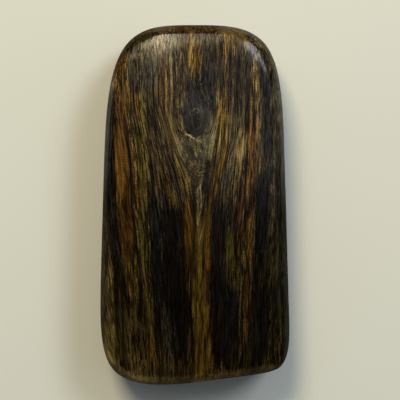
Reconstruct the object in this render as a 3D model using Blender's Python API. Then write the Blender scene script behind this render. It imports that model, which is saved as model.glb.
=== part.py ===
"""A palm-sized piece of resinous agarwood, sawn to a rounded slab, hand-sanded and polished.

It lies on its back on the ground plane. X is across the grain, +Y runs along the grain to the
narrow end, and +Z points out of the show face. It grew as one piece, so it is one solid.
"""

import math

import bmesh
import bpy
import numpy as np

MM = 0.001

# Plan of the slab, in millimetres. Each quarter of the outline is a superellipse with one
# power across the slab and one along it. A high power gives a tight corner.
HALF_LENGTH = 37.95
HALF_WIDTH = 19.35
NARROWING_PER_MM = 0.033
NARROW_END_LEFT_POWERS = (3.5, 4.8)
NARROW_END_RIGHT_POWERS = (3.4, 6.2)
WIDE_END_LEFT_POWERS = (2.3, 8.6)
WIDE_END_RIGHT_POWERS = (8.8, 14.0)

# The wide end was sawn askew: it rises to the right of this line, by this much a millimetre.
SKEW_PER_MM = 0.128
SKEW_LINE_X = -5.0
SKEW_STARTS_Y = -17.0

# Thickness. The outline is the widest level of the slab, a little under half way up.
THICKNESS = 18.0
WIDEST_LEVEL = 8.6
CROWN_ACROSS = 1.1
CROWN_ALONG = 0.9

# The rounding of the rim, by the way the outline faces, anticlockwise from +X: how far it reaches
# in from the outline, and how far above the face it would end if the face didn't cut it off. A
# large overshoot leaves a crisp arris. Both are averaged over the facing angle, plus or minus
# the ease, so they change gently around the slab.
RIM_FACING = (0.0, 45.0, 90.0, 135.0, 180.0, 225.0, 270.0, 315.0, 360.0)
RIM_REACH = (4.6, 6.0, 6.0, 5.4, 3.2, 5.8, 5.0, 3.0, 4.6)
RIM_OVERSHOOT = (0.15, 1.1, 1.3, 0.7, 0.15, 0.9, 1.0, 0.7, 0.15)
RIM_EASE = 24.0
RIM_SAMPLES = 5
RIM_BACK = (4.4, 0.25)
ARRIS_SOFTNESS = 0.9
BACK_ARRIS_SOFTNESS = 0.9

# Two soft flats sanded on the show face beside the narrow end. Each is the direction in which
# it falls, the distance along that direction where it starts, its slope and its softness.
SANDED_FLATS = (
    (math.radians(108.0), 29.6, math.tan(math.radians(16.0)), 1.2),
    (math.radians(42.0), 26.1, math.tan(math.radians(17.0)), 0.4),
)

# Unevenness left by hand sanding: height, waves along and across over the slab, and phase.
SANDING_WAVES = (
    (0.10, 1.3, 0.5, 0.4),
    (0.07, 0.6, 1.7, 2.1),
    (0.05, 2.4, -1.1, 4.0),
)

# Cells of the slab's grid, and how strongly they crowd towards its edges. The grid's walls
# follow the rim's rounding up to the angle given here, and its top and back do the rest.
CELLS_ACROSS = 56
CELLS_ALONG = 28
CELLS_UP = 12
CROWDING_ACROSS = 1.35
CROWDING_ALONG = 1.6
WALL_TOP_ANGLE = math.radians(60.0)

# The outline is worked out from places around the edge of a unit square, two to a side.
PLACES_AROUND = 8
OUTLINE_STEPS = 1440
HALVINGS = 40
TINY = 1e-9
GRID_TOLERANCE = 1e-6


def smooth_step(value):
    value = np.clip(value, 0.0, 1.0)
    return value * value * (3.0 - 2.0 * value)


def smooth_min(a, b, softness):
    """The lower of two heights, with the crease between them rounded off."""
    overlap = np.maximum(softness - np.abs(a - b), 0.0)
    return np.minimum(a, b) - overlap * overlap / (4.0 * softness)


def quarter_powers(left, right):
    """The powers of the left and right quarters at one end, as columns."""
    return np.array(left)[:, None], np.array(right)[:, None]


def outline_scale(u, v):
    """The factor that brings a point of the unit square's edge onto the superellipse."""
    narrow_end = np.where(u < 0, *quarter_powers(NARROW_END_LEFT_POWERS, NARROW_END_RIGHT_POWERS))
    wide_end = np.where(u < 0, *quarter_powers(WIDE_END_LEFT_POWERS, WIDE_END_RIGHT_POWERS))
    across, along = np.where(v >= 0, narrow_end, wide_end)
    low, high = np.zeros(len(u)), np.ones(len(u))
    for _ in range(HALVINGS):
        middle = (low + high) / 2
        inside = np.abs(middle * u) ** across + np.abs(middle * v) ** along < 1
        low = np.where(inside, middle, low)
        high = np.where(inside, high, middle)
    return low


def outline_points(turn):
    """Plan points of the outline, for places around the edge of the unit square."""
    us, vs = zip((1, 0), (1, 1), (0, 1), (-1, 1), (-1, 0), (-1, -1), (0, -1), (1, -1), (1, 0))
    u = np.interp(turn % PLACES_AROUND, range(len(us)), us)
    v = np.interp(turn % PLACES_AROUND, range(len(vs)), vs)
    scale = outline_scale(u, v)
    y = scale * v * HALF_LENGTH
    x = scale * u * (HALF_WIDTH - NARROWING_PER_MM * y)
    skewed = smooth_step((SKEW_STARTS_Y - y) / (HALF_LENGTH + SKEW_STARTS_Y))
    return np.stack([x, y + SKEW_PER_MM * (x - SKEW_LINE_X) * skewed], axis=1)


def outline_normals(turn):
    """Unit vectors pointing out of the outline, in plan."""
    step = PLACES_AROUND / OUTLINE_STEPS
    tangent = outline_points(turn + step) - outline_points(turn - step)
    tangent /= np.linalg.norm(tangent, axis=1)[:, None]
    return np.stack([tangent[:, 1], -tangent[:, 0]], axis=1)


def turn_of(u, v):
    """The place around the unit square's edge that a point of the square faces."""
    far = np.maximum(np.maximum(np.abs(u), np.abs(v)), TINY)
    u, v = u / far, v / far
    right, top, left = u >= 1 - TINY, v >= 1 - TINY, u <= -1 + TINY
    beside = np.where(right, v % PLACES_AROUND, 4 - v)
    return np.where(right | left, beside, np.where(top, 2 - u, 6 + u))


def rim(normals):
    """Reach and overshoot of the rim's rounding for outline points with these normals."""
    facing = np.degrees(np.arctan2(normals[:, 1], normals[:, 0]))
    offsets = np.linspace(-RIM_EASE, RIM_EASE, RIM_SAMPLES)
    around = [(facing + offset) % 360.0 for offset in offsets]
    reach = np.mean([np.interp(angle, RIM_FACING, RIM_REACH) for angle in around], axis=0)
    overshoot = np.mean([np.interp(angle, RIM_FACING, RIM_OVERSHOOT) for angle in around], axis=0)
    return reach, overshoot


def show_face(x, y):
    """Height of the show face before its rim is rounded."""
    height = THICKNESS - CROWN_ACROSS * (x / HALF_WIDTH) ** 2 - CROWN_ALONG * (y / HALF_LENGTH) ** 2
    for direction, start, slope, softness in SANDED_FLATS:
        outwards = x * math.cos(direction) + y * math.sin(direction)
        flat = THICKNESS - slope * (outwards - start)
        height = smooth_min(height, flat, softness)
    for rise, along, across, phase in SANDING_WAVES:
        height += rise * np.sin(math.pi * (along * y / HALF_LENGTH + across * x / HALF_WIDTH) + phase)
    return height


def rounding(inset, reach):
    """Share of the rim's height that is reached this far in from the outline."""
    left = 1 - np.clip(inset / reach, 0, 1)
    return np.sqrt(np.maximum(1 - left * left, 0))


def slab_points(grid):
    """Moves the points of a cube from -1 to 1 onto the slab's surface."""
    u, v, w = grid.T
    far = np.maximum(np.abs(u), np.abs(v))
    turn = turn_of(u, v)
    edge, normals = outline_points(turn), outline_normals(turn)
    reach, _ = rim(normals)
    reach = np.where(w > 0, reach, RIM_BACK[0])
    wall_inset = reach * (1 - np.cos(np.abs(w) * WALL_TOP_ANGLE))
    plan = (edge - normals * wall_inset[:, None]) * far[:, None]

    around = np.arange(OUTLINE_STEPS) * PLACES_AROUND / OUTLINE_STEPS
    outline, outline_out = outline_points(around), outline_normals(around)
    gaps = np.linalg.norm(plan[:, None] - outline[None], axis=2)
    nearest = gaps.argmin(axis=1)
    on_wall = far > 1 - GRID_TOLERANCE
    inset = np.where(on_wall, wall_inset, gaps.min(axis=1))
    facing = np.where(on_wall[:, None], normals, outline_out[nearest])

    x, y = plan.T
    reach, overshoot = rim(facing)
    face = show_face(x, y)
    top = WIDEST_LEVEL + (THICKNESS + overshoot - WIDEST_LEVEL) * rounding(inset, reach)
    front = smooth_min(face, top, ARRIS_SOFTNESS)
    bottom = WIDEST_LEVEL - (WIDEST_LEVEL + RIM_BACK[1]) * rounding(inset, RIM_BACK[0])
    back = -smooth_min(np.zeros(len(x)), -bottom, BACK_ARRIS_SOFTNESS)
    return np.stack([x, y, np.where(w > 0, front, back)], axis=1)


def crowded(cells, power):
    """Where to cut a side from -1 to 1, with smaller cells towards both ends."""
    even = np.linspace(-1, 1, cells + 1)[1:-1]
    return np.sign(even) * (1 - (1 - np.abs(even)) ** power)


def make_agarwood_piece():
    """One closed mesh: a cube, cut into cells, with every corner moved onto the slab."""
    mesh = bpy.data.meshes.new("agarwood_piece")
    block = bmesh.new()
    bmesh.ops.create_cube(block, size=2.0)
    cuts = (
        crowded(CELLS_ACROSS, CROWDING_ACROSS),
        crowded(CELLS_ALONG, CROWDING_ALONG),
        crowded(CELLS_UP, 1.0),
    )
    for axis, places in enumerate(cuts):
        direction = np.eye(3)[axis]
        for place in places:
            bmesh.ops.bisect_plane(
                block,
                geom=block.verts[:] + block.edges[:] + block.faces[:],
                dist=GRID_TOLERANCE,
                plane_co=direction * place,
                plane_no=direction,
            )

    points = slab_points(np.array([vertex.co for vertex in block.verts]))
    low, high = points.min(axis=0), points.max(axis=0)
    points -= [(low[0] + high[0]) / 2, (low[1] + high[1]) / 2, low[2]]
    for vertex, point in zip(block.verts, points):
        vertex.co = point * MM
    bmesh.ops.recalc_face_normals(block, faces=block.faces[:])
    block.to_mesh(mesh)
    block.free()
    mesh.shade_smooth()

    piece = bpy.data.objects.new("agarwood_piece", mesh)
    piece.data.materials.append(agarwood())
    return piece


def agarwood():
    """Dark brown resinous heartwood with a soft polish."""
    material = bpy.data.materials.new("agarwood")
    material.use_nodes = True
    shader = material.node_tree.nodes["Principled BSDF"]
    shader.inputs["Base Color"].default_value = (0.060, 0.036, 0.014, 1.0)
    shader.inputs["Roughness"].default_value = 0.35
    shader.inputs["Metallic"].default_value = 0.0
    return material


def main():
    for leftover in list(bpy.data.objects):
        bpy.data.objects.remove(leftover)
    collection = bpy.data.collections.new("Agarwood piece")
    bpy.context.scene.collection.children.link(collection)
    collection.objects.link(make_agarwood_piece())


main()
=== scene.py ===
import math

import bpy
import numpy as np
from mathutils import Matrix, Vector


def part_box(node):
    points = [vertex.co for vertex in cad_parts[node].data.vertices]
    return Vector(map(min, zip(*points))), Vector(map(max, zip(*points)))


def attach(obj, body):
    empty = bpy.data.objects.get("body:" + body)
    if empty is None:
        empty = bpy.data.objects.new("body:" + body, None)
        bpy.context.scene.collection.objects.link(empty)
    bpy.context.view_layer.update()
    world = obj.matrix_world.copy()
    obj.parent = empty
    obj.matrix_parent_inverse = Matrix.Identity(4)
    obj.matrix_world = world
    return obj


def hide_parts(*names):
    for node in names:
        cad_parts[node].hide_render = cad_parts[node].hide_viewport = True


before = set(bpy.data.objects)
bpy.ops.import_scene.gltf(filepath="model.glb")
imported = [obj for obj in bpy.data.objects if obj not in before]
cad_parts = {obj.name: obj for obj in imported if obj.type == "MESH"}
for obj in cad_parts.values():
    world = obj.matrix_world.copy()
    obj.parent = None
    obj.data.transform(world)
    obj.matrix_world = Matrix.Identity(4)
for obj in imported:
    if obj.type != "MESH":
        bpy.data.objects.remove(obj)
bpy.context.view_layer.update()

# The agarwood piece is one lump of resin-soaked heartwood. It was sawn to a slab, rounded over by
# hand on a sanding board, taken through finer and finer grits and rubbed with wax, so it shines
# without any varnish. Its sizes here are in millimetres: x across the grain and y along it.

MM = 0.001
BLOCK_ROOM = 1.03
BLOCK_CELLS = (56, 28, 12)
BLOCK_CROWDING = (1.2, 1.35, 1.0)
CUT_TOLERANCE = 1e-6
GRIT_ROUNDS = 3
GRIT_BITE = 0.5
SUBDIVISIONS = 2

# A block a little larger than the slab is ruled into cells, narrow across the grain and long
# along it, and pressed onto the sawn solid. Subdividing it then rounds off the solid's facets.
low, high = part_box("agarwood_piece")
middle, half_size = (low + high) / 2, (high - low) * BLOCK_ROOM / 2
bpy.ops.object.select_all(action="DESELECT")
bpy.ops.mesh.primitive_cube_add(size=2, location=middle, scale=half_size)
piece = bpy.context.object
piece.name = piece.data.name = "polished_agarwood"
bpy.ops.object.transform_apply(location=True, rotation=True, scale=True)
bpy.ops.object.mode_set(mode="EDIT")
for axis, (cells, crowding) in enumerate(zip(BLOCK_CELLS, BLOCK_CROWDING)):
    direction = [float(axis == other) for other in range(3)]
    for share in np.linspace(-1, 1, cells + 1)[1:-1]:
        place = middle.copy()
        place[axis] += half_size[axis] * np.sign(share) * (1 - (1 - abs(share)) ** crowding)
        bpy.ops.mesh.select_all(action="SELECT")
        bpy.ops.mesh.bisect(plane_co=place, plane_no=direction, threshold=CUT_TOLERANCE)
bpy.ops.object.mode_set(mode="OBJECT")

press = piece.modifiers.new("press onto the solid", "SHRINKWRAP")
press.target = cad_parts["agarwood_piece"]
press.wrap_method = "NEAREST_SURFACEPOINT"
sand = piece.modifiers.new("sand", "SMOOTH")
sand.factor = GRIT_BITE
sand.iterations = GRIT_ROUNDS
sand.use_z = False
refine = piece.modifiers.new("refine", "SUBSURF")
refine.levels = refine.render_levels = SUBDIVISIONS
for modifier in (press, sand, refine):
    bpy.ops.object.modifier_apply(modifier=modifier.name)
piece.data.shade_smooth()


# The fibres run along y and part round a knot. Below it they meet on one line again, and on the
# way to the wide end they lean in towards that line. A sheet of fibres slants through the slab, so
# it shows further left on the back.
FACE_LEVEL = 17.6
MEETING_LINE = 0.8
LEAN_LEFT = 0.0055
LEAN_RIGHT = 0.0015
SLANT = 0.32

# How far left and right of the meeting line the parted fibres pass, level by level along y.
PARTING_LEVELS = (-7.8, -3.2, 0.4, 2.9, 6.2, 9.0, 11.0, 13.7, 15.5, 18.7, 20.7, 38.0)
PARTED_LEFT = (0.0, 0.1, 0.9, 1.5, 2.3, 3.2, 4.1, 5.0, 5.5, 6.3, 7.1, 7.3)
PARTED_RIGHT = (0.2, 1.0, 1.5, 1.9, 2.4, 2.8, 3.2, 3.6, 3.9, 4.2, 4.4, 5.4)
PARTING_EASE = 1.6
EASE_SAMPLES = 5

# The fibres beyond the parted ones are pushed aside too, less and less over this distance. All of
# them part less the deeper they lie, and below the depth of the knot they run straight.
PARTING_SPREAD = 7.0
KNOT_DEPTH = 11.0

# The dark eye of the knot is a drop with its tip towards the narrow end. It lies left of the
# meeting line, its tip more so. The fibres of the knot crowd where the eye leaves them less room,
# and each millimetre further in they come from this much deeper in the wood.
EYE_TIP = 26.2
EYE_FOOT = 14.6
EYE_HALF_WIDTH = 2.6
EYE_TAPER = 1.55
EYE_ROUNDNESS = 0.75
EYE_OFF_LINE = -0.55
EYE_LEAVES_LINE = -4
TIP_OFF_LINE = -2.1
TIP_TURNS = (21, 29)
INNER_WIDTH = 6.0
CROWDING = 0.6
CROWDING_GROWS = (12, 17)
LEAST_ROOM = 1.0
DEEPER_INSIDE = 0.7

# The fibres waver a little: by how much, over what length along y and across x, and from where.
WAVERS = ((0.14, 5.3, 3.1, 0.0), (0.08, 2.7, -2.3, 1.7))


def smooth_step(value, start, end):
    share = np.clip((value - start) / (end - start), 0, 1)
    return share * share * (3 - 2 * share)


def eased(y, values):
    """A value set level by level, with its corners rounded off."""
    offsets = np.linspace(-PARTING_EASE, PARTING_EASE, EASE_SAMPLES)
    return sum(np.interp(y + offset, PARTING_LEVELS, values) for offset in offsets) / len(offsets)


def eye_half_width(y):
    along = np.clip((EYE_TIP - y) / (EYE_TIP - EYE_FOOT), 0, 1)
    return EYE_HALF_WIDTH * np.sin(math.pi * along ** EYE_TAPER) ** EYE_ROUNDNESS


def knot_fibres(side, y, left, right, shallow):
    """How far in from the parted fibres a point lies, on which fibre, and how far in the eye."""
    eye_line = EYE_OFF_LINE * smooth_step(y, EYE_LEAVES_LINE, EYE_FOOT)
    eye_line = eye_line + (TIP_OFF_LINE - EYE_OFF_LINE) * smooth_step(y, *TIP_TURNS)
    eye_line = eye_line * shallow
    eye = eye_half_width(y) * shallow
    on_left = side < eye_line
    inside = np.where(on_left, side + left, right - side)
    room = np.where(on_left, left + eye_line, right - eye_line) - eye
    crowded = CROWDING * (INNER_WIDTH / np.maximum(room, LEAST_ROOM) - 1)
    crowded = crowded * smooth_step(y, *CROWDING_GROWS)
    return inside, inside * (1 + crowded), eye - np.abs(side - eye_line)


def grain_of(x, y, z):
    """Places each point among the fibres and the layers, in depth, in the knot and in its eye."""
    depth = np.maximum(FACE_LEVEL - z, 0)
    shallow = smooth_step(depth, KNOT_DEPTH, 0)
    side = x - MEETING_LINE + SLANT * depth
    side = side / (1 + np.where(side < 0, LEAN_LEFT, LEAN_RIGHT) * np.minimum(y, 0))
    left, right = eased(y, PARTED_LEFT) * shallow, eased(y, PARTED_RIGHT) * shallow
    parted = np.where(side < 0, left, right)
    beside = np.abs(side) - parted
    outer = np.sign(side) * (np.abs(side) - parted * np.exp(-beside / PARTING_SPREAD))

    inside, inner, inside_eye = knot_fibres(side, y, left, right, shallow)
    across = np.where(beside > 0, outer, inner)
    for reach, along, aside, start in WAVERS:
        across = across + reach * np.sin(y / along + x / aside + start)
    through = depth + DEEPER_INSIDE * np.maximum(inside, 0)
    return across, through, depth, inside, inside_eye


# Resin fills the dark fibres. The rest take these tints.
RESIN = (0.0014, 0.0008, 0.0003)
GOLD = (0.076, 0.045, 0.0036)
ORANGE_GOLD = (0.084, 0.038, 0.0020)
OLIVE_GOLD = (0.054, 0.043, 0.0065)
RED_BROWN = (0.066, 0.022, 0.0050)
BROWN = (0.050, 0.035, 0.011)
PALE_BROWN = (0.080, 0.059, 0.021)
GREY_GREEN = (0.044, 0.042, 0.022)
PALE_GREEN = (0.072, 0.062, 0.028)
VIOLET_GREY = (0.044, 0.036, 0.027)
BLUE_GREY = (0.024, 0.026, 0.028)

# The streaks on the show face, from its left to its right: the tint of each, how much lighter or
# darker it is than the wood around it, half its width, and the points that it runs through from
# the narrow end towards the wide end. Those of resin are cracks, and only darken the wood.
STREAKS = (
    # along the left edge
    (VIOLET_GREY, -1.2, 1.4, ((-17.5, 22), (-17.7, 12), (-17.3, 3))),
    (BROWN, 0.4, 1.0, ((-17.6, -1), (-17.6, -12))),
    (BROWN, 0.75, 1.1, ((-17.6, -12), (-17.2, -33))),
    (GOLD, 1.1, 0.9, ((-16.2, 31), (-17.0, 25))),
    (GOLD, 0.6, 0.4, ((-15.9, 27.2), (-15.5, 24.0))),
    (GOLD, 0.2, 0.3, ((-15.8, 23.5), (-15.6, 19.5))),
    (GOLD, -0.1, 0.3, ((-16.3, 21.5), (-16.1, 17.5))),
    (ORANGE_GOLD, 0.2, 0.8, ((-14.8, 31), (-14.6, 26))),
    (RED_BROWN, -0.2, 0.8, ((-13.9, 34), (-14.2, 30.5))),
    (ORANGE_GOLD, 0.0, 1.2, ((-14.4, 26), (-14.6, 17))),
    (GOLD, 0.4, 0.3, ((-13.5, 26), (-13.2, 21))),
    (BROWN, -0.35, 0.7, ((-12.5, 31), (-12.3, 24))),
    (ORANGE_GOLD, 0.45, 0.5, ((-11.9, 24.5), (-11.5, 21), (-11.5, 18))),
    (OLIVE_GOLD, 0.3, 0.45, ((-10.8, 25), (-10.6, 20), (-10.6, 16))),
    (GREY_GREEN, -0.2, 0.6, ((-10.4, 31), (-10.2, 24))),
    # the broad orange band and the olive one beside it, with the dark cracks between them
    (ORANGE_GOLD, 0.06, 1.4, ((-15.0, 17.5), (-14.9, 12), (-14.8, 7))),
    (ORANGE_GOLD, 0.2, 1.3, ((-14.8, 8), (-14.2, 0), (-13.6, -6), (-13.3, -10))),
    (ORANGE_GOLD, 0.35, 0.5, ((-13.3, -9), (-12.9, -15), (-12.4, -21), (-11.8, -25))),
    (OLIVE_GOLD, 0.3, 0.9, (
        (-11.6, 16), (-11.2, 11), (-10.9, 6), (-10.7, 0), (-10.5, -6), (-10.3, -11),
    )),
    (ORANGE_GOLD, 0.3, 0.3, ((-12.6, 13), (-12.2, 9), (-12.0, 5), (-11.7, -2))),
    (RESIN, -1.1, 0.2, ((-17.1, 14), (-16.8, 6), (-16.1, 2), (-15.7, -4), (-15.0, -9))),
    (RESIN, -1.0, 0.12, ((-16.3, 8), (-15.4, 2), (-14.9, -5))),
    (RESIN, -1.35, 0.18, (
        (-13.9, 18), (-13.5, 13), (-13.1, 10), (-12.9, 6), (-12.7, 1), (-12.2, -4), (-11.9, -9),
    )),
    (RESIN, -1.2, 0.14, ((-12.1, 17), (-11.6, 13), (-11.1, 9))),
    (RESIN, -1.2, 0.25, ((-11.2, -9), (-11.1, -16), (-11.0, -22))),
    (RESIN, -1.1, 0.15, ((-12.5, -8), (-12.5, -18), (-12.2, -27))),
    (VIOLET_GREY, -0.3, 0.8, ((-16.7, 2), (-16.3, -8), (-15.8, -14))),
    # between the left bands and the knot
    (BLUE_GREY, -0.2, 0.9, ((-8.8, 31), (-8.6, 24))),
    (BROWN, -0.3, 1.2, ((-8.6, 24), (-8.7, 17), (-8.4, 10), (-7.9, 4))),
    (PALE_BROWN, 0.1, 0.35, ((-7.6, 33), (-7.3, 26))),
    (ORANGE_GOLD, 0.3, 0.3, ((-6.9, 28), (-6.7, 21))),
    (GOLD, 0.35, 0.3, ((-5.9, 29), (-5.7, 24), (-5.9, 19))),
    (PALE_BROWN, 0.3, 0.25, ((-4.8, 33), (-4.7, 24), (-4.9, 18), (-4.5, 14))),
    (PALE_BROWN, 0.3, 0.25, ((-3.7, 33), (-3.6, 24), (-3.4, 19))),
    (ORANGE_GOLD, 0.3, 0.25, ((-2.8, 32), (-2.7, 24), (-2.9, 19))),
    (VIOLET_GREY, 0.2, 0.3, ((-2.0, 29), (-1.9, 22))),
    (RESIN, -1.3, 0.15, ((-6.4, 31), (-6.2, 24), (-6.3, 19))),
    (RESIN, -1.4, 0.15, ((-5.35, 34), (-5.2, 26), (-5.3, 20))),
    (RESIN, -1.4, 0.15, ((-4.2, 34), (-4.2, 26), (-4.3, 19))),
    (RESIN, -1.3, 0.15, ((-3.15, 33), (-3.1, 20))),
    (RESIN, -1.1, 0.13, ((-2.35, 31), (-2.3, 21))),
    (RESIN, -1.2, 0.16, ((-1.7, 34), (-1.5, 28), (-1.1, 24))),
    (RESIN, -1.1, 0.14, ((-7.4, 34), (-7.3, 27), (-7.4, 20))),
    (RESIN, -0.9, 0.14, ((-9.5, 30), (-9.5, 22), (-9.4, 14))),
    (PALE_BROWN, 0.6, 0.8, ((-2.2, 33), (-2.2, 25), (-2.6, 20))),
    (VIOLET_GREY, -0.1, 0.6, ((-6.5, 16), (-5.6, 11), (-4.4, 6), (-3.4, 2))),
    (PALE_BROWN, 0.4, 0.16, ((-6.9, 24), (-6.4, 20.8), (-5.4, 18.6), (-4.6, 15.2), (-4.1, 13))),
    (PALE_BROWN, 0.3, 0.35, ((-4.1, 13.5), (-3.1, 10), (-2.0, 7.5), (-1.3, 4.5))),
    (ORANGE_GOLD, 0.7, 0.35, ((-1.8, 6.8), (-1.2, 3.8))),
    (OLIVE_GOLD, 0.1, 0.4, ((-7.2, 11), (-7.0, 5))),
    (VIOLET_GREY, 0.35, 0.8, ((-3.4, 14.5), (-2.7, 11.5), (-1.9, 9))),
    (VIOLET_GREY, -0.4, 0.45, ((-8.7, 9), (-8.3, 3))),
    (GOLD, 0.55, 0.6, ((-5.1, 4.6), (-4.3, 0))),
    (RESIN, -1.1, 0.15, ((-5.9, 14), (-5.2, 8), (-4.6, 3))),
    (RESIN, -1.1, 0.15, ((-4.9, 14), (-4.0, 8), (-2.9, 3))),
    (RESIN, -1.0, 0.15, ((-7.0, 15), (-6.5, 8), (-6.0, 3))),
    (BROWN, 0.25, 1.3, ((-5.0, 22), (-4.9, 15), (-4.2, 11))),
    # the blackest wood, left of the middle
    (BLUE_GREY, -0.6, 1.9, ((-7.9, 3), (-7.4, -3), (-7.0, -10), (-6.9, -18))),
    (BLUE_GREY, -1.05, 1.3, ((-4.4, 0), (-4.3, -8), (-3.7, -24))),
    (PALE_BROWN, 1.0, 0.1, ((-7.2, 2.2), (-6.7, -0.2))),
    (BLUE_GREY, -0.7, 0.8, ((-8.2, -9), (-7.8, -20), (-7.4, -29))),
    (BLUE_GREY, -0.85, 0.8, ((-2.8, -9), (-2.6, -22), (-2.3, -31))),
    (BLUE_GREY, -1.2, 1.3, ((-5.2, -11), (-5.0, -21))),
    (GREY_GREEN, -0.2, 0.7, ((-6.4, -18), (-6.2, -29))),
    (BLUE_GREY, -0.6, 0.7, ((-4.9, -21), (-4.9, -30))),
    (OLIVE_GOLD, 0.4, 0.4, ((-3.7, -23), (-3.5, -30))),
    (BLUE_GREY, -1.1, 0.6, ((-1.5, -18), (-1.3, -24))),
    # the lower left corner
    (OLIVE_GOLD, -0.4, 1.3, ((-15.4, -10), (-15.0, -19))),
    (OLIVE_GOLD, 0.1, 1.5, ((-15.2, -20), (-15.0, -32))),
    (OLIVE_GOLD, 0.5, 0.2, ((-16.8, -12), (-16.4, -22))),
    (GOLD, 0.3, 0.25, ((-12.0, -10), (-11.8, -18), (-11.5, -25))),
    (BROWN, -0.4, 1.4, ((-11.0, -17), (-11.0, -31))),
    (OLIVE_GOLD, 0.25, 0.4, ((-10.0, -10), (-9.8, -18))),
    (OLIVE_GOLD, 0.2, 0.9, ((-9.4, -20), (-9.1, -26), (-9.0, -32))),
    (ORANGE_GOLD, 0.5, 0.4, ((-8.9, -26.5), (-8.8, -31.5))),
    (BROWN, 0.1, 0.5, ((-16.8, -23), (-16.6, -31))),
    # the gold wood above the knot, and the grey beside it
    (GOLD, 0.6, 1.2, ((0.1, 36), (0.1, 30), (0.2, 26.5))),
    (GOLD, 0.3, 0.3, ((-0.6, 34.5), (-0.4, 30), (0.0, 26))),
    (RESIN, -0.7, 0.15, ((0.5, 34), (0.8, 29))),
    (VIOLET_GREY, -0.1, 1.0, ((2.4, 35.5), (2.6, 28))),
    (BLUE_GREY, -0.4, 0.8, ((3.9, 32), (4.0, 26))),
    (BLUE_GREY, -0.4, 0.5, ((2.9, 33), (3.1, 27))),
    (RESIN, -0.8, 0.2, ((3.9, 35), (4.1, 25))),
    (BLUE_GREY, -0.6, 1.3, ((2.9, 28), (3.0, 20))),
    (GREY_GREEN, 0.6, 0.14, ((1.4, 27.5), (2.5, 24.5), (3.6, 21))),
    (GREY_GREEN, 0.7, 0.25, ((1.5, 24.5), (2.2, 21.2), (2.9, 18.7), (3.5, 16.5))),
    (GREY_GREEN, 0.8, 0.14, ((-2.4, 20), (-2.7, 17.2), (-2.4, 14.6))),
    (GREY_GREEN, 0.5, 0.5, ((2.3, 23), (3.3, 19.5), (3.9, 16), (4.0, 13.5))),
    (GREY_GREEN, 0.5, 0.9, ((3.1, 16.5), (2.8, 14), (2.3, 11))),
    (BROWN, 0.1, 0.5, ((1.4, 10.5), (1.6, 8))),
    # right of the knot: the gold arm that bends round it
    (BROWN, -0.6, 0.8, ((4.6, 35), (4.8, 24))),
    (ORANGE_GOLD, 0.0, 0.6, ((6.3, 35), (6.5, 30))),
    (BROWN, 0.0, 0.6, ((6.5, 30), (6.4, 20))),
    (GOLD, 0.3, 0.35, ((6.0, 25), (6.0, 20.5))),
    (PALE_BROWN, 0.5, 0.14, ((5.9, 21), (5.6, 16.5), (5.3, 14))),
    (PALE_BROWN, 0.4, 0.12, ((4.2, 33), (4.4, 27), (4.6, 22))),
    (BROWN, -0.45, 1.0, ((8.2, 31), (8.0, 23))),
    (RESIN, -1.2, 0.14, ((5.6, 34), (5.6, 24))),
    (RESIN, -1.1, 0.14, ((7.3, 33), (7.3, 24))),
    (RESIN, -0.9, 0.14, ((8.9, 34), (9.0, 26))),
    (RESIN, -0.9, 0.14, ((11.2, 32), (11.3, 23))),
    (GOLD, 0.75, 0.55, ((5.4, 22), (5.1, 15), (4.5, 11), (3.8, 6.5))),
    (ORANGE_GOLD, 0.4, 0.45, ((4.1, 8), (3.1, 2.5), (2.7, -1))),
    (GOLD, 0.75, 0.75, ((6.6, 20), (6.2, 13), (5.4, 9), (4.9, 5.5))),
    (GOLD, 0.4, 0.6, ((5.0, 6.5), (4.2, 1), (3.8, -3))),
    (PALE_BROWN, 0.7, 0.12, ((5.2, 15.5), (4.9, 13), (4.3, 10))),
    (RESIN, -1.3, 0.15, ((5.2, 20), (4.9, 15), (4.2, 11), (3.5, 7.5), (2.9, 3.5), (2.4, -1))),
    (RESIN, -1.1, 0.15, ((5.9, 18), (5.4, 12), (4.7, 8.5), (4.0, 4), (3.4, -1))),
    (RESIN, -0.8, 0.14, ((7.1, 19), (6.7, 13), (5.9, 9), (5.2, 5), (4.6, 1))),
    # the right side
    (BROWN, -0.3, 1.6, ((10.0, 32), (9.9, 17.5))),
    (VIOLET_GREY, 0.0, 0.9, ((8.2, 21), (8.0, 13), (7.2, 9), (6.3, 6), (5.6, 3))),
    (PALE_BROWN, 0.35, 0.5, ((9.9, 20), (9.7, 13), (9.2, 9), (8.6, 5), (8.4, 1))),
    (PALE_BROWN, 0.6, 1.5, ((10.0, 15.5), (9.8, 13), (9.3, 10))),
    (BROWN, 0.35, 1.2, ((7.8, 20), (7.4, 13))),
    (BROWN, 0.4, 0.9, ((13.4, 17), (13.1, 7))),
    (PALE_BROWN, 0.7, 0.13, ((9.7, 10), (9.0, 6))),
    (GOLD, 0.35, 0.4, ((11.4, 22.5), (11.3, 16))),
    # This pale streak is partly the wood's own and partly a painted highlight.
    (PALE_BROWN, 0.55, 0.5, ((12.9, 31), (13.0, 26), (12.8, 21))),
    (PALE_BROWN, 0.8, 0.13, ((13.0, 21), (12.9, 17))),
    (RESIN, -1.2, 0.15, ((12.4, 24), (12.3, 15), (12.0, 8))),
    (ORANGE_GOLD, 0.45, 0.7, (
        (11.8, 17), (11.4, 10), (11.2, 4), (11.3, -2), (11.1, -8), (10.9, -13),
    )),
    (ORANGE_GOLD, 0.1, 0.7, ((10.9, -13), (10.9, -21))),
    (RESIN, -1.2, 0.18, ((10.8, 14), (10.4, 6), (10.2, 1), (10.1, -8))),
    (RESIN, -0.9, 0.15, ((11.3, 8), (11.1, 2), (10.7, -5), (10.5, -14))),
    (RED_BROWN, 0.35, 0.7, ((9.5, 3), (9.3, -5))),
    (PALE_BROWN, 0.9, 0.12, ((9.95, 0.6), (9.95, -3))),
    (VIOLET_GREY, -0.7, 0.6, ((7.4, 1), (7.6, -4.5))),
    (GREY_GREEN, -0.1, 0.8, ((6.6, 2), (6.2, -4))),
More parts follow.
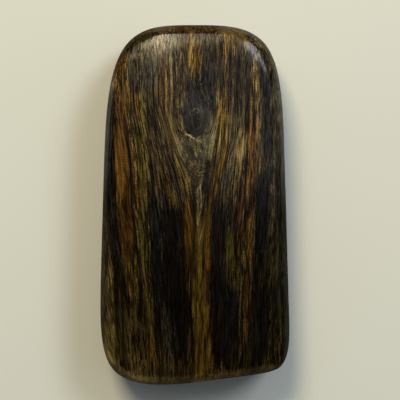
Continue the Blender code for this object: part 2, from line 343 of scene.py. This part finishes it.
    (BLUE_GREY, -1.25, 1.5, ((5.0, 0), (4.8, -6), (4.7, -12))),
    (OLIVE_GOLD, 0.2, 1.1, ((7.4, -4), (6.9, -9), (6.9, -13))),
    (GOLD, 0.3, 0.35, ((8.9, -5), (8.7, -10), (9.0, -16), (9.0, -22))),
    (BLUE_GREY, -1.4, 1.6, ((4.9, -12), (4.8, -22), (4.8, -26))),
    (BLUE_GREY, -1.1, 1.2, ((5.2, -25), (5.2, -31))),
    (BLUE_GREY, -0.95, 1.7, ((7.4, -17), (7.4, -31))),
    (ORANGE_GOLD, -0.1, 0.8, ((10.8, -19), (10.8, -26))),
    (BLUE_GREY, -0.8, 0.95, ((14.6, 31), (14.6, 20), (14.8, 10))),
    (BLUE_GREY, -1.2, 1.4, ((14.9, 8), (14.1, 5), (13.9, -1), (13.6, -9))),
    (BROWN, -0.8, 1.8, ((13.5, -9), (13.5, -18), (13.0, -28))),
    (BLUE_GREY, -1.3, 1.5, ((13.8, -18), (13.8, -30))),
    (GREY_GREEN, 0.15, 0.7, ((16.2, 27), (17.0, 18), (17.0, 8))),
    (GREY_GREEN, -0.1, 0.7, ((17.0, 7), (17.2, -8))),
    (OLIVE_GOLD, 0.1, 0.8, ((17.4, -8), (17.6, -24))),
    # the gold wood below the knot
    (GOLD, 0.15, 2.7, ((0.5, 0), (0.4, -4), (0.4, -12))),
    (GOLD, 0.25, 1.6, ((0.7, -13), (0.9, -16), (1.0, -21))),
    (GOLD, 0.6, 1.8, ((1.2, -20), (1.7, -27), (1.6, -38.5))),
    (ORANGE_GOLD, 0.45, 0.7, ((-1.4, 2.5), (-1.3, -3), (-1.4, -9))),
    (ORANGE_GOLD, 0.2, 0.4, ((2.9, -4), (2.7, -10), (2.6, -16))),
    (PALE_BROWN, 0.6, 0.4, ((0.8, 3), (1.0, -3), (1.0, -7))),
    (GOLD, 0.3, 0.4, ((0.6, -9), (0.8, -15), (0.9, -20))),
    (RESIN, -1.1, 0.15, ((-0.2, -1), (-0.1, -9), (0.0, -14))),
    (RESIN, -0.9, 0.18, ((1.8, -6), (1.7, -13))),
    (RESIN, -0.7, 0.14, ((-0.8, -9), (-0.7, -17))),
    (RED_BROWN, 0.1, 0.25, ((2.2, -8), (2.1, -19))),
    (RESIN, -0.6, 0.14, ((2.9, -19), (2.8, -28))),
    (RESIN, -0.9, 0.2, ((0.9, -26), (0.9, -32.5))),
    (RESIN, -0.6, 0.14, ((2.1, -25), (2.5, -32.5))),
    # the two ends
    (ORANGE_GOLD, -0.1, 9.0, ((-1.0, 39), (-1.0, 36.2))),
    (OLIVE_GOLD, -0.4, 3.0, ((-11.5, 35.5), (-11.5, 32.5))),
    (GOLD, 0.35, 2.6, ((8.6, 37.5), (9.0, 32))),
    (BROWN, -0.65, 4.0, ((9.8, -27), (9.8, -33))),
    (BROWN, 0.1, 7.5, ((-8.5, -33.0), (-8.5, -40))),
)

# How strongly a streak changes the tone, how soft its sides and its ends are, and between which
# depths it fades. The sides of a broad one are softer, those of a thin one are soft to just past
# its middle, and the ends of a short one fade faster.
STREAK_STRENGTH = 1.5
STREAK_EDGE = 0.3
STREAK_EDGE_BY_WIDTH = 0.3
EDGE_PAST_MIDDLE = 0.06
STREAK_FADE = 2.0
STREAK_FADE_SHARE = 0.3
STREAK_DEPTH = (9.0, 3.0)

# Calm wood shows less of its single fibres. Streaks are calmer than the wood around them, broad
# light ones more so. The eye of the knot and the pale strip at the wide end are calm too, but the
# end grain below that strip is less so.
STREAK_CALM = 0.15
STREAK_CALM_BY_WIDTH = 0.3
STREAK_CALM_MOST = 0.6
EYE_CALM = 0.7
END_STRIP_CALM = 0.8
END_GRAIN_LIVELIER = 0.6

# The wood is darker towards the wide end, and resin makes it darker still on the right there: how
# much darker each makes the wood, and between which levels. Streaks together make it no darker than
# the least tone.
RESIN_EVERYWHERE = -0.06
DARKER_BY_WIDE_END = -0.9
WIDE_END_DARKENS = (15, -5)
RESIN_IN_CORNER = -0.45
CORNER_ALONG = (-10, -24)
CORNER_ACROSS = (-10, 0)
TONE_LEAST = -3.0

# The sanded end shows as a pale strip with speckles along the wide end's outline, so wide and with
# so soft an edge. The strip has a paler tint and speckles of its own, and a painted sheen lightens
# its tone. The strip widens round the left corner, and the gold wood below the knot runs out over
# it. The end grain itself, where the surface turns away, is less strongly tinted, but it also
# carries the painted sheen. The outline is read off the piece in a few narrow columns. None is in
# the right corner, where the strip ends.
END_STRIP = 2.9
END_STRIP_EDGE = 0.7
WIDER_ON_LEFT = 1.0
LEFT_CORNER = (-11.5, -19)
NARROWER_IN_GOLD = 1.3
GOLD_RUNS_OUT_AT = 1.8
GOLD_SIDES = (1.5, 0.8)
OUTLINE_COLUMNS = (-19, -16, -12, -5, 0, 5, 10, 15)
COLUMN_HALF_WIDTH = 0.25
END_TURNS = (-0.4, -0.95)
# How much lighter the strip and the end grain are painted: a painted sheen.
END_STRIP_PAINTED_SHEEN = 0.75
END_GRAIN_PAINTED_SHEEN = 0.8
END_STRIP_COVER = 0.85
END_GRAIN_BARER = 0.35
END_STRIP_SPECKLED = 0.6

# The tissue in the knot, between the parted fibres, is grey and speckled, and the eye is a dark
# blue grey: where each begins, how far its colour covers the streaks', and its tone.
TISSUE_GROWS = (-0.2, 0.9)
TISSUE_TOP = (17.5, 12.5)
TISSUE_FOOT = (-1, 5)
TISSUE_COVER = 0.75
TISSUE_LIGHTER = 0.4
EYE_EDGE = (-0.9, 0.5)
EYE_FOOT_EDGE = (-0.8, 0.4)
EYE_TIP_EDGE = (2, -1)
EYE_COVER = 0.9
EYE_DARKER = 0.35

# The rounded rim and the sides are painted a little darker than the face: a painted shade.
RIM_TURNS = (0.95, 0.6)
RIM_PAINTED_SHADE = 0.3

# The wax is an even coat on the face. It is rubbed thinner on the rim, between the two sanded
# flats, left of them and towards the wide end: how much, and between which places.
WAX = 1.0
WAX_LEAST = 0.1
WAX_LESS_ON_RIM = 0.65
WAX_LESS_BETWEEN_FLATS = 0.5
WAX_LESS_LEFT_OF_FLATS = 0.6
WAX_LESS_BY_WIDE_END = 0.4
FLATS_MEET_AT = 0.3
BETWEEN_FLATS_ACROSS = (6, 2)
BETWEEN_FLATS_ALONG = (26, 32)
LEFT_OF_FLATS_ACROSS = (-7.5, -10.5)
LEFT_OF_FLATS_ALONG = (26, 31)
WIDE_END_ALONG = (12, -8)


def cover_of(half_width, path, x, y):
    """How much of a streak covers each point. Its sides and its ends are soft."""
    levels = [point[1] for point in reversed(path)]
    middle_x = np.interp(y, levels, [point[0] for point in reversed(path)])
    off = np.abs(x - middle_x)
    fade = min(STREAK_FADE, STREAK_FADE_SHARE * (levels[-1] - levels[0]))
    ends = smooth_step(y, levels[0] - fade, levels[0] + fade)
    ends = ends * smooth_step(y, levels[-1] + fade, levels[-1] - fade)
    edge = STREAK_EDGE * (1 + STREAK_EDGE_BY_WIDTH * half_width)
    edge = min(edge, half_width + EDGE_PAST_MIDDLE)
    return ends * smooth_step(off, half_width + edge, half_width - edge)


def calm_of(lighter, half_width):
    calm = STREAK_CALM
    if lighter > 0:
        calm += STREAK_CALM_BY_WIDTH * half_width
    return min(calm, STREAK_CALM_MOST)


def dyed(tint, dye, share):
    """Brings each point's tint towards another one by a share."""
    return tint + (np.array(dye) - tint) * share[:, None]


def wide_end_of(x, y):
    """Where the wide end's outline lies at each x: the piece's last point in the columns there."""
    last = [y[np.abs(x - column) < COLUMN_HALF_WIDTH].min() for column in OUTLINE_COLUMNS]
    return np.interp(x, OUTLINE_COLUMNS, last)


# These values are worked out at each vertex and kept in the mesh for the material to read.
corners = np.empty(len(piece.data.vertices) * 3)
piece.data.vertices.foreach_get("co", corners)
x, y, z = corners.reshape(-1, 3).T / MM
normals = np.empty(len(piece.data.vertices) * 3)
piece.data.vertex_normals.foreach_get("vector", normals)
_, facing_y, facing_z = normals.reshape(-1, 3).T
across, through, depth, inside, inside_eye = grain_of(x, y, z)

on_face = smooth_step(depth, *STREAK_DEPTH)
in_corner = smooth_step(y, *CORNER_ALONG) * smooth_step(x, *CORNER_ACROSS)
# The tone grows darker towards the wide end.
tone = RESIN_EVERYWHERE + DARKER_BY_WIDE_END * smooth_step(y, *WIDE_END_DARKENS)
tone = tone + RESIN_IN_CORNER * in_corner
tint = np.tile(BROWN, (len(x), 1))
calm = np.zeros(len(x))
for own_tint, lighter, half_width, path in STREAKS:
    cover = on_face * cover_of(half_width, path, x + SLANT * depth, y)
    tone = tone + STREAK_STRENGTH * lighter * cover
    if own_tint is not RESIN:
        tint = dyed(tint, own_tint, cover)
    calm = np.maximum(calm, calm_of(lighter, half_width) * cover)

tissue = smooth_step(inside, *TISSUE_GROWS) * smooth_step(y, *TISSUE_TOP)
tissue = tissue * smooth_step(y, *TISSUE_FOOT)
in_eye = smooth_step(inside_eye, *EYE_EDGE)
in_eye = in_eye * smooth_step(y - EYE_FOOT, *EYE_FOOT_EDGE)
in_eye = in_eye * smooth_step(y - EYE_TIP, *EYE_TIP_EDGE)
end_grain = smooth_step(facing_y, *END_TURNS)
strip_width = END_STRIP + WIDER_ON_LEFT * smooth_step(x, *LEFT_CORNER)
gold_runs_out = smooth_step(np.abs(x - GOLD_RUNS_OUT_AT), *GOLD_SIDES)
strip_width = strip_width - NARROWER_IN_GOLD * gold_runs_out
past_strip = y - wide_end_of(x, y) - strip_width
end_strip = smooth_step(past_strip, END_STRIP_EDGE, -END_STRIP_EDGE)
end_strip = np.maximum(end_grain, end_strip)
turned = smooth_step(facing_z, *RIM_TURNS)

tint = dyed(tint, GREY_GREEN, TISSUE_COVER * tissue)
tint = dyed(tint, BLUE_GREY, EYE_COVER * in_eye)
tint = dyed(tint, PALE_BROWN, END_STRIP_COVER * end_strip - END_GRAIN_BARER * end_grain)
tone = np.maximum(tone, TONE_LEAST)
# The rim's darkening here is painted shade.
tone = tone - EYE_DARKER * in_eye - RIM_PAINTED_SHADE * turned + TISSUE_LIGHTER * tissue
# The wide end's lightening here is a painted sheen over its paler tint.
tone = tone + END_STRIP_PAINTED_SHEEN * end_strip + END_GRAIN_PAINTED_SHEEN * end_grain
calm = np.maximum(calm, EYE_CALM * in_eye)
calm = np.maximum(calm, END_STRIP_CALM * end_strip - END_GRAIN_LIVELIER * end_grain)
tissue = np.maximum(tissue, END_STRIP_SPECKLED * end_strip)

between_flats = smooth_step(np.abs(x - FLATS_MEET_AT), *BETWEEN_FLATS_ACROSS)
between_flats = between_flats * smooth_step(y, *BETWEEN_FLATS_ALONG)
left_of_flats = smooth_step(x, *LEFT_OF_FLATS_ACROSS) * smooth_step(y, *LEFT_OF_FLATS_ALONG)
wax = WAX - WAX_LESS_ON_RIM * turned - WAX_LESS_BETWEEN_FLATS * between_flats
wax = wax - WAX_LESS_LEFT_OF_FLATS * left_of_flats
wax = wax - WAX_LESS_BY_WIDE_END * smooth_step(y, *WIDE_END_ALONG)
wax = np.maximum(wax, WAX_LEAST)

# Each attribute holds three values. The last one of the polish is spare.
attributes = {
    "grain": (across, y, through),
    "tint": tint.T,
    "figure": (tone, tissue, calm),
    "polish": (wax, depth, np.zeros(len(x))),
}
for name, values in attributes.items():
    attribute = piece.data.attributes.new(name, "FLOAT_VECTOR", "POINT")
    attribute.data.foreach_set("vector", np.stack(values, axis=1).astype(np.float32).ravel())


# Blender's noise varies about this value.
NOISE_MIDDLE = 0.5


def plug(tree, socket, value):
    """Joins another node's output to a socket, or sets a plain value on it."""
    if isinstance(value, bpy.types.NodeSocket):
        tree.links.new(value, socket)
    else:
        socket.default_value = value


def maths(tree, operation, *values):
    node = tree.nodes.new("ShaderNodeMath")
    node.operation = operation
    for socket, value in zip(node.inputs, values):
        plug(tree, socket, value)
    return node.outputs[0]


def vectors(tree, operation, *values):
    node = tree.nodes.new("ShaderNodeVectorMath")
    node.operation = operation
    for socket, value in zip(node.inputs, values):
        plug(tree, socket, value)
    return node.outputs["Value" if operation in ("DISTANCE", "DOT_PRODUCT") else "Vector"]


def scaled(tree, vector, factor):
    node = tree.nodes.new("ShaderNodeVectorMath")
    node.operation = "SCALE"
    plug(tree, node.inputs[0], vector)
    plug(tree, node.inputs["Scale"], factor)
    return node.outputs[0]


def step(tree, value, start, end, top=1.0):
    """Rises smoothly from 0 to top as the value goes from start to end."""
    node = tree.nodes.new("ShaderNodeMapRange")
    node.interpolation_type = "SMOOTHSTEP"
    for name, given in (("Value", value), ("From Min", start), ("From Max", end), ("To Max", top)):
        plug(tree, node.inputs[name], given)
    return node.outputs[0]


def fibres(tree, place, fineness, length, detail, roughness):
    """Noise drawn out along the grain: so many fibres a millimetre, each so many long."""
    noise = tree.nodes.new("ShaderNodeTexNoise")
    noise.inputs["Scale"].default_value = 1.0
    noise.inputs["Detail"].default_value = detail
    noise.inputs["Roughness"].default_value = roughness
    stretched = vectors(tree, "MULTIPLY", place, (fineness, 1 / length, fineness))
    plug(tree, noise.inputs["Vector"], stretched)
    return noise.outputs


def varied(tree, noise, strength, onto=0.0):
    """Noise about nought, of this strength, added onto another value."""
    centred = maths(tree, "SUBTRACT", noise, NOISE_MIDDLE)
    return maths(tree, "MULTIPLY_ADD", centred, strength, onto)


def parts_of(tree, vector):
    split = tree.nodes.new("ShaderNodeSeparateXYZ")
    plug(tree, split.inputs[0], vector)
    return split.outputs


def paint(tree, under, over, mask):
    """Lays one colour over another where the mask is high."""
    node = tree.nodes.new("ShaderNodeMix")
    node.data_type = "RGBA"
    for socket, value in zip((node.inputs[0], node.inputs[6], node.inputs[7]), (mask, under, over)):
        plug(tree, socket, (*value, 1) if isinstance(value, tuple) else value)
    return node.outputs[2]


# Marks of pale wood in the knot: the two ends of each stroke, half its width and how strongly it
# shows.
STROKES = (
    # the rim under the eye
    ((-2.3, 15.7), (-1.7, 15.1), 0.12, 0.8),
    ((-1.7, 15.2), (-1.2, 14.9), 0.14, 1.2),
    ((-1.2, 15.0), (-0.7, 14.7), 0.22, 1.7),
    ((-0.7, 14.5), (-0.1, 14.3), 0.16, 1.3),
    ((-1.0, 14.5), (-0.9, 13.9), 0.12, 1.0),
    ((-0.3, 14.3), (-0.2, 13.2), 0.13, 1.0),
    ((0.4, 14.0), (0.6, 13.2), 0.12, 0.9),
    ((0.5, 14.3), (1.2, 14.8), 0.12, 0.8),
    ((0.9, 13.8), (1.5, 13.6), 0.12, 0.6),
    # the ring and the arcs in the eye
    ((-0.4, 20.0), (-0.1, 20.4), 0.09, 0.7),
    ((-0.1, 20.4), (0.5, 20.4), 0.10, 0.8),
    ((0.5, 20.4), (0.85, 20.0), 0.10, 0.8),
    ((0.85, 20.0), (0.5, 19.7), 0.09, 0.7),
    ((0.5, 19.7), (0.0, 19.75), 0.09, 0.6),
    ((-0.5, 19.3), (0.1, 19.2), 0.09, 0.5),
    ((0.0, 18.4), (0.8, 18.3), 0.10, 0.5),
    ((-0.1, 17.8), (0.6, 17.6), 0.10, 0.4),
    # below the eye
    ((0.9, 7.4), (2.2, 7.7), 0.12, 0.9),
    ((0.6, 6.8), (1.6, 6.9), 0.12, 0.7),
    ((0.1, 12.4), (0.3, 9.6), 0.12, 0.6),
    ((1.15, 5.0), (1.25, 0.2), 0.10, 1.7),
    ((0.5, 4.4), (0.6, 1.2), 0.12, 0.9),
    ((-0.3, 3.6), (0.1, 1.0), 0.12, 0.6),
    ((0.45, 0.6), (0.7, -3.2), 0.16, 1.0),
)

# Black patches in the knot: their two ends, half their width, how soft they are and their tone.
BLACK_PATCHES = (
    ((2.75, 9.2), (2.1, 3.8), 0.5, 0.6, -1.8),
    ((-0.8, 13.0), (-0.3, 10.6), 0.8, 0.8, -0.5),
    ((-0.1, 17.3), (-0.1, 16.3), 1.2, 0.7, -0.9),
    ((0.1, 25.5), (0.3, 22.5), 0.6, 0.7, -0.9),
)


def stroke(tree, place, start, end, half_width, soft):
    """Where a straight stroke between two points of the face lies."""
    run = (end[0] - start[0], end[1] - start[1], 0)
    from_start = vectors(tree, "SUBTRACT", place, (*start, 0))
    squared = run[0] ** 2 + run[1] ** 2
    along = vectors(tree, "DOT_PRODUCT", from_start, (run[0] / squared, run[1] / squared, 0))
    along = maths(tree, "MINIMUM", maths(tree, "MAXIMUM", along, 0.0), 1.0)
    off = vectors(tree, "DISTANCE", from_start, scaled(tree, run, along))
    return step(tree, off, half_width + soft, half_width - soft)


# The sizes of fibre, from the broadest bands to the hairs and the specks along them: how many lie
# side by side in a millimetre, how many millimetres long each is, and the detail and roughness of
# its noise. In the knot's tissue a mottle and a fine grit take the place of strands and hairs.
BANDS = (0.30, 40.0, 1.0, 0.5)
ROPES = (0.9, 14.0, 1.0, 0.5)
STRANDS = (2.0, 6.0, 2.0, 0.6)
HAIRS = (5.0, 2.4, 1.0, 0.6)
SPECKS = (6.0, 0.3, 1.0, 0.5)
CRACKS = (1.3, 18.0, 0.0, 0.5)
MOTTLE = (1.5, 1.6, 3.0, 0.75)
GRIT = (4.5, 0.3, 1.0, 0.5)

# How much each of them changes the tone, with a cap on how light a fibre gets and one for the wood
# as a whole. Even the calmest wood shows a little of its fibres and of their own tints.
BANDS_VARY = 2.6
ROPES_VARY = 2.4
STRANDS_VARY = 7.9
HAIRS_VARY = 13.0
SPECKS_VARY = 4.0
MOTTLE_VARIES = 7.5
GRIT_VARIES = 2.0
LIGHTEST_FIBRE = 0.75
LIGHTEST_WOOD = 4.5
LIVELY_LEAST = 0.1
MIXED_BY_CALM = -2.0
MIXED_LEAST = 0.1

# Seams and long cracks lie where a noise passes its middle value, so close to it.
SEAM_EDGE = (0.060, 0.015)
SEAM_DARKER = -0.6
CRACK_EDGE = (0.085, 0.02)
CRACK_DARKER = -2.1

# The tissue begins in patches, and the marks in the knot fade out between two depths.
TISSUE_PATCHY = 0.8
TISSUE_EDGE = (0.3, 0.7)
MARKS_DEPTH = (4.0, 2.0)
MARKS_WOBBLE = 0.6
STROKE_EDGE = 0.14
STROKE_CALM = 0.4
STROKE_TINT_GROWS = (0.1, 0.8)

# The finish: how rough the wood is, how the wax varies with the fibres, and how many millimetres
# the fibres stand up or lie low.
ROUGHNESS = 0.45
ROUGHNESS_VARIES = 0.25
WAX_VARIES_BY_STRAND = 1.5
WAX_VARIES_BY_HAIR = 2.2
WAX_IN_CRACK = -0.4
STRAND_RELIEF = 0.04
HAIR_RELIEF = 0.012
SEAM_RELIEF = -0.01

figure = bpy.data.node_groups.new("agarwood_figure", "ShaderNodeTree")
for name in ("Place", "Grain", "Tint", "Figure", "Polish"):
    figure.interface.new_socket(name, in_out="INPUT", socket_type="NodeSocketVector")
figure.interface.new_socket("Color", in_out="OUTPUT", socket_type="NodeSocketColor")
for name in ("Roughness", "Wax", "Height"):
    figure.interface.new_socket(name, in_out="OUTPUT", socket_type="NodeSocketFloat")
entry = figure.nodes.new("NodeGroupInput")
leave = figure.nodes.new("NodeGroupOutput")

grain = entry.outputs["Grain"]
tone, tissue, calm = parts_of(figure, entry.outputs["Figure"])
wax, depth, _ = parts_of(figure, entry.outputs["Polish"])
place = scaled(figure, entry.outputs["Place"], 1 / MM)

bands = fibres(figure, grain, *BANDS)[0]
ropes, rope_colors = fibres(figure, grain, *ROPES)
strands, strand_colors = fibres(figure, grain, *STRANDS)
hairs = fibres(figure, grain, *HAIRS)[0]
specks = fibres(figure, grain, *SPECKS)[0]
cracks = fibres(figure, grain, *CRACKS)[0]
mottle = fibres(figure, place, *MOTTLE)[0]
grit = fibres(figure, place, *GRIT)[0]
rope_parts = parts_of(figure, rope_colors)
strand_parts = parts_of(figure, strand_colors)

# The knot's marks are drawn on the face, each a little wobbly.
near_face = step(figure, depth, *MARKS_DEPTH)
off_middle = vectors(figure, "SUBTRACT", rope_colors, (NOISE_MIDDLE, NOISE_MIDDLE, NOISE_MIDDLE))
wobble = scaled(figure, off_middle, MARKS_WOBBLE)
drawn = vectors(figure, "MULTIPLY", vectors(figure, "ADD", place, wobble), (1, 1, 0))
pale = 0.0
for start, end, half_width, strength in STROKES:
    mask = stroke(figure, drawn, start, end, half_width, STROKE_EDGE)
    pale = maths(figure, "MULTIPLY_ADD", mask, strength, pale)
pale = maths(figure, "MULTIPLY", pale, near_face)

# The tone is a logarithm, so that a fibre changes pale and dark wood by the same share.
lined = varied(figure, strands, STRANDS_VARY)
lined = maths(figure, "MINIMUM", varied(figure, hairs, HAIRS_VARY, lined), LIGHTEST_FIBRE)
speckled = varied(figure, grit, GRIT_VARIES, varied(figure, mottle, MOTTLE_VARIES))
tissue = step(figure, varied(figure, mottle, TISSUE_PATCHY, tissue), *TISSUE_EDGE)
speckled_more = maths(figure, "SUBTRACT", speckled, lined)
detail = maths(figure, "ADD", lined, maths(figure, "MULTIPLY", tissue, speckled_more))
detail = varied(figure, specks, SPECKS_VARY, varied(figure, ropes, ROPES_VARY, detail))
calm = maths(figure, "MULTIPLY_ADD", pale, STROKE_CALM, calm)
lively = maths(figure, "MAXIMUM", maths(figure, "SUBTRACT", 1.0, calm), LIVELY_LEAST)
tone = maths(figure, "MULTIPLY_ADD", detail, lively, tone)
tone = varied(figure, bands, BANDS_VARY, tone)

# The tissue has seams but no cracks.
seam = maths(figure, "ABSOLUTE", maths(figure, "SUBTRACT", rope_parts[2], NOISE_MIDDLE))
seam = step(figure, seam, *SEAM_EDGE)
tone = maths(figure, "MULTIPLY_ADD", seam, SEAM_DARKER, tone)
crack = maths(figure, "ABSOLUTE", maths(figure, "SUBTRACT", cracks, NOISE_MIDDLE))
crack = step(figure, crack, *CRACK_EDGE)
crack = maths(figure, "MULTIPLY", crack, maths(figure, "SUBTRACT", lively, tissue))
crack = maths(figure, "MAXIMUM", crack, 0.0)
tone = maths(figure, "MULTIPLY_ADD", crack, CRACK_DARKER, tone)

tone = maths(figure, "ADD", tone, pale)
for start, end, half_width, soft, strength in BLACK_PATCHES:
    black = stroke(figure, drawn, start, end, half_width, soft)
    black = maths(figure, "MULTIPLY", black, near_face)
    tone = maths(figure, "MULTIPLY_ADD", black, strength, tone)

# Some fibres have tints of their own, which mostly show less in calm wood: the tint, the noise that
# picks them, the values between which it rises, how far it covers, and the share that shows.
mixed = maths(figure, "MULTIPLY_ADD", calm, MIXED_BY_CALM, 1.0)
mixed = maths(figure, "MAXIMUM", mixed, MIXED_LEAST)
fibre_tints = (
    (OLIVE_GOLD, rope_parts[0], (0.45, 0.62, 0.6), mixed),
    (RED_BROWN, rope_parts[1], (0.54, 0.70, 0.5), mixed),
    (GREY_GREEN, strand_parts[2], (0.50, 0.66, 0.3), 1.0),
    (PALE_BROWN, strand_parts[0], (0.54, 0.74, 0.7), mixed),
    (ORANGE_GOLD, strand_parts[1], (0.56, 0.72, 0.4), mixed),
)
tint = entry.outputs["Tint"]
for own_tint, noise, rise, share in fibre_tints:
    mask = maths(figure, "MULTIPLY", step(figure, noise, *rise), share)
    tint = paint(figure, tint, own_tint, mask)
tint = paint(figure, tint, PALE_GREEN, step(figure, pale, *STROKE_TINT_GROWS))
light = maths(figure, "MINIMUM", maths(figure, "EXPONENT", tone), LIGHTEST_WOOD)
color = vectors(figure, "ADD", scaled(figure, tint, light), RESIN)
figure.links.new(color, leave.inputs["Color"])

figure.links.new(varied(figure, hairs, ROUGHNESS_VARIES, ROUGHNESS), leave.inputs["Roughness"])
wax_share = varied(figure, strands, WAX_VARIES_BY_STRAND, 1.0)
wax_share = varied(figure, hairs, WAX_VARIES_BY_HAIR, wax_share)
wax_share = maths(figure, "MULTIPLY_ADD", crack, WAX_IN_CRACK, wax_share)
figure.links.new(maths(figure, "MULTIPLY", wax_share, wax), leave.inputs["Wax"])
height = maths(figure, "MULTIPLY", hairs, HAIR_RELIEF)
height = maths(figure, "MULTIPLY_ADD", strands, STRAND_RELIEF, height)
height = maths(figure, "MULTIPLY_ADD", seam, SEAM_RELIEF, height)
figure.links.new(height, leave.inputs["Height"])

# The bare wood has no gloss of its own: all the shine is the wax's.
wood = bpy.data.materials.new("agarwood")
wood.use_nodes = True
shader = wood.node_tree.nodes["Principled BSDF"]
shader.inputs["IOR"].default_value = 1.5
shader.inputs["Specular IOR Level"].default_value = 0.0
shader.inputs["Coat IOR"].default_value = 1.35
shader.inputs["Coat Roughness"].default_value = 0.25
wood_figure = wood.node_tree.nodes.new("ShaderNodeGroup")
wood_figure.node_tree = figure
for name in attributes:
    read = wood.node_tree.nodes.new("ShaderNodeAttribute")
    read.attribute_name = name
    wood.node_tree.links.new(read.outputs["Vector"], wood_figure.inputs[name.title()])
coordinates = wood.node_tree.nodes.new("ShaderNodeTexCoord")
wood.node_tree.links.new(coordinates.outputs["Object"], wood_figure.inputs["Place"])
relief = wood.node_tree.nodes.new("ShaderNodeBump")
relief.inputs["Strength"].default_value = 1.0
relief.inputs["Distance"].default_value = MM
wood.node_tree.links.new(wood_figure.outputs["Height"], relief.inputs["Height"])
wood.node_tree.links.new(relief.outputs["Normal"], shader.inputs["Normal"])
wood.node_tree.links.new(wood_figure.outputs["Wax"], shader.inputs["Coat Weight"])
wood.node_tree.links.new(wood_figure.outputs["Color"], shader.inputs["Base Color"])
wood.node_tree.links.new(wood_figure.outputs["Roughness"], shader.inputs["Roughness"])
piece.data.materials.clear()
piece.data.materials.append(wood)

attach(piece, "root")
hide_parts("agarwood_piece")

# The floor is a plain pale sheet of card, far larger than the view. The piece lies on it.
FLOOR_SIDE = 1.6
bpy.ops.object.select_all(action="DESELECT")
bpy.ops.mesh.primitive_plane_add(size=FLOOR_SIDE, location=(0, 0, 0))
floor = bpy.context.object
floor.name = "floor"
card = bpy.data.materials.new("pale card")
card.use_nodes = True
card_shader = card.node_tree.nodes["Principled BSDF"]
card_shader.inputs["Base Color"].default_value = (0.63, 0.67, 0.63, 1)
card_shader.inputs["Roughness"].default_value = 0.9
floor.data.materials.append(card)

# The light comes from two soft panels beyond the narrow end and from a dim room. The panels'
# reflections lie on the two flats sanded by the narrow end. Each has its bearing and height in
# degrees, its distance and side in metres, its power in watts and its colour.
PANELS = (
    ("left panel", 110.0, 54.0, 0.60, 0.17, 2.5, (1.0, 0.82, 0.52)),
    ("right panel", 43.0, 50.0, 0.60, 0.17, 1.3, (0.94, 0.97, 1.0)),
)
for name, azimuth, elevation, distance, side, power, tint in PANELS:
    turn, rise = math.radians(azimuth), math.radians(elevation)
    towards = (math.cos(turn) * math.cos(rise), math.sin(turn) * math.cos(rise), math.sin(rise))
    panel = bpy.data.lights.new(name, "AREA")
    panel.shape = "SQUARE"
    panel.size = side
    panel.energy = power
    panel.color = tint
    lamp = bpy.data.objects.new(name, panel)
    lamp.location = [distance * part for part in towards]
    lamp.rotation_euler = (math.pi / 2 - rise, 0, turn + math.pi / 2)
    bpy.context.scene.collection.objects.link(lamp)

# Overhead the room is pale on the narrow end's side and dark on the other. Low down it is dim all
# round. The pale side is the way it faces along x and y, and both changes are gradual.
ROOM_LOW = (0.07, 0.075, 0.08)
ROOM_PALE = (0.55, 0.56, 0.60)
ROOM_DARK = (0.003, 0.003, 0.003)
PALE_SIDE = (0.35, 0.94)
PALE_SIDE_GROWS = (-0.10, 0.12)
LOW_GROWS = (0.75, 0.2)
room = bpy.data.worlds.new("dim room")
room.use_nodes = True
walls = room.node_tree
looking = walls.nodes.new("ShaderNodeTexCoord").outputs["Generated"]
towards_x, towards_y, towards_z = parts_of(walls, looking)
sideways = maths(walls, "MULTIPLY", towards_y, PALE_SIDE[1])
sideways = maths(walls, "MULTIPLY_ADD", towards_x, PALE_SIDE[0], sideways)
shine = paint(walls, ROOM_DARK, ROOM_PALE, step(walls, sideways, *PALE_SIDE_GROWS))
shine = paint(walls, shine, ROOM_LOW, step(walls, towards_z, *LOW_GROWS))
walls.links.new(shine, walls.nodes["Background"].inputs["Color"])
bpy.context.scene.world = room
bpy.context.scene.view_settings.view_transform = "Standard"

# The camera looks down on the piece from close by, tilted so that it sees a little of the narrow
# end. The side of its square view is measured at the level that it aims at.
CAMERA_TILT = math.radians(4.0)
CAMERA_DISTANCE = 0.272
FRAME_PIXELS = 400
PIXELS_PER_METRE = 4737
VIEW_SIDE = FRAME_PIXELS / PIXELS_PER_METRE
AIM = (0.00105, 0.0012, 0.0086)
SENSOR = 36.0
camera_data = bpy.data.cameras.new("camera")
camera_data.sensor_width = SENSOR
camera_data.lens = SENSOR * CAMERA_DISTANCE / VIEW_SIDE
camera = bpy.data.objects.new("camera", camera_data)
camera.location = (
    AIM[0],
    AIM[1] + CAMERA_DISTANCE * math.sin(CAMERA_TILT),
    AIM[2] + CAMERA_DISTANCE * math.cos(CAMERA_TILT),
)
camera.rotation_euler = (-CAMERA_TILT, 0, 0)
bpy.context.scene.collection.objects.link(camera)
bpy.context.scene.camera = camera
